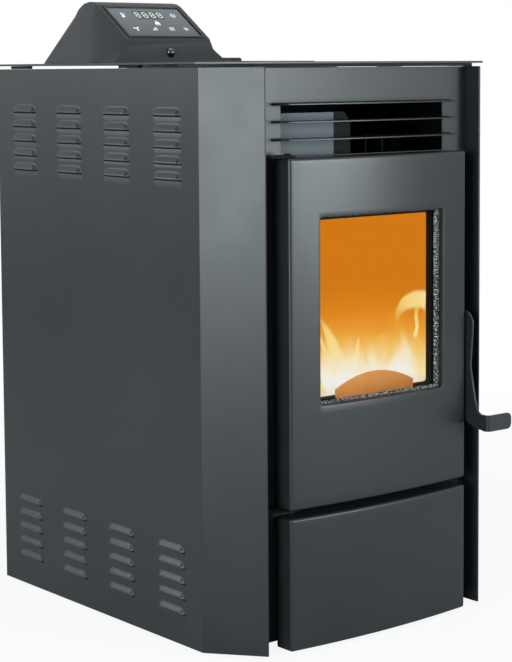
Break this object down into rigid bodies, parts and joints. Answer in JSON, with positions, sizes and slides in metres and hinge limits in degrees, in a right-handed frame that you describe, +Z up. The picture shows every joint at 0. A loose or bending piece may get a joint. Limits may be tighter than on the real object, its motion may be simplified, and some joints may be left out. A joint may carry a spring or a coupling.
{
  "type": "pellet stove",
  "caption": "Free-standing pellet stove with a bowed glazed fire door, an ash drawer, louvred sides, a top air outlet, a hopper lid and a control housing.",
  "frame": {"origin": "on the floor, below the middle of the whole stove's bounding box", "axes": "+Z up; -Y out of the fire door; +X to the right as seen from in front of the fire door, which is the latch side"},
  "size_m": [0.5592, 0.7172, 0.9499],
  "materials": {
    "satin_charcoal": "satin charcoal powder coat",
    "stove_black": "matt heat-proof black",
    "bare_steel": "plain turned or rolled steel",
    "galvanised_sheet": "galvanised sheet",
    "cast_iron": "cast iron, heat stained",
    "black_rubber": "moulded rubber",
    "glass_rope": "braided glass-fibre rope",
    "housing_plastic": "moulded, fine grained",
    "dark_plastic": "smooth dark moulding",
    "fire_glass": "ceramic stove glass, lit from behind",
    "display_glass": "smoked display window"
  },
  "bodies": {
    "cabinet": {"air_intake_pipe": "galvanised_sheet", "auger_motor": "bare_steel", "auger_tube": "stove_black", "base_pan": "stove_black", "burn_pot_holder": "cast_iron", "control_housing": "housing_plastic", "display_bezel": "dark_plastic", "display_glass": "display_glass", "exhaust_housing": "cast_iron", "exhaust_motor": "bare_steel", "firebox_back_plate": "cast_iron", "firebox_shell": "stove_black", "flue_pipe": "bare_steel", "front_fascia": "satin_charcoal", "front_frame": "stove_black", "front_top_seal": "black_rubber", "grille_blade_1": "satin_charcoal", "grille_blade_2": "satin_charcoal", "grille_blade_3": "satin_charcoal", "heat_exchanger": "cast_iron", "hopper": "galvanised_sheet", "igniter": "bare_steel", "left_side_panel": "satin_charcoal", "levelling_foot_front_left": "black_rubber", "levelling_foot_front_right": "black_rubber", "levelling_foot_rear_left": "black_rubber", "levelling_foot_rear_right": "black_rubber", "lid_hinge_pin": "bare_steel", "outlet_baffle": "galvanised_sheet", "pellet_chute": "stove_black", "power_inlet": "dark_plastic", "rear_panel": "stove_black", "receiver_dome": "dark_plastic", "right_side_panel": "satin_charcoal", "room_blower_housing": "galvanised_sheet", "room_blower_motor": "bare_steel", "smoke_duct": "galvanised_sheet", "top_plate": "satin_charcoal", "top_spacer_left_middle": "black_rubber", "top_spacer_left_rear": "black_rubber", "top_spacer_right_middle": "black_rubber", "top_spacer_right_rear": "black_rubber"},
    "fire_door": {"door_panel": "satin_charcoal", "door_inner_plate": "stove_black", "door_glass": "fire_glass", "glass_rope": "glass_rope", "glass_retainer": "stove_black", "ember_guard": "cast_iron", "door_rope": "glass_rope", "latch_pivot": "bare_steel"},
    "latch_lever": {"latch_lever": "satin_charcoal"},
    "hopper_lid": {"hopper_lid": "satin_charcoal", "lid_seal": "black_rubber"},
    "ash_drawer": {"ash_drawer_front": "satin_charcoal", "ash_pan": "galvanised_sheet"},
    "burn_pot": {"burn_pot": "cast_iron"},
    "auger": {"auger": "bare_steel"},
    "exhaust_impeller": {"exhaust_impeller": "bare_steel"},
    "room_blower_wheel": {"room_blower_wheel": "bare_steel"}
  },
  "joints": [
    {"name": "door_hinge", "type": "hinge", "parent": "cabinet", "child": "fire_door", "pos_m": [-0.168, -0.301, 0.465], "axis": [0, 0, -1], "range_deg": [0, 115]},
    {"name": "latch_pivot", "type": "hinge", "parent": "fire_door", "child": "latch_lever", "pos_m": [0.182, -0.298, 0.455], "axis": [-1, 0, 0], "range_deg": [0, 35]},
    {"name": "lid_hinge", "type": "hinge", "parent": "cabinet", "child": "hopper_lid", "pos_m": [0.121, 0.235, 0.8593], "axis": [-1, 0, 0], "range_deg": [0, 95]},
    {"name": "drawer_slide", "type": "slide", "parent": "cabinet", "child": "ash_drawer", "axis": [0, -1, 0], "range_m": [0, 0.23]},
    {"name": "burn_pot_lift", "type": "slide", "parent": "cabinet", "child": "burn_pot", "axis": [0, 0, 1], "range_m": [0, 0.06]},
    {"name": "auger_spin", "type": "hinge", "parent": "cabinet", "child": "auger", "pos_m": [0, 0.236, 0.395], "axis": [0, -0.8192, 0.5736], "continuous": true},
    {"name": "exhaust_spin", "type": "hinge", "parent": "cabinet", "child": "exhaust_impeller", "pos_m": [-0.155, 0.15, 0.15], "axis": [1, 0, 0], "continuous": true},
    {"name": "room_blower_spin", "type": "hinge", "parent": "cabinet", "child": "room_blower_wheel", "pos_m": [0.1025, 0.232, 0.095], "axis": [1, 0, 0], "continuous": true}
  ]
}
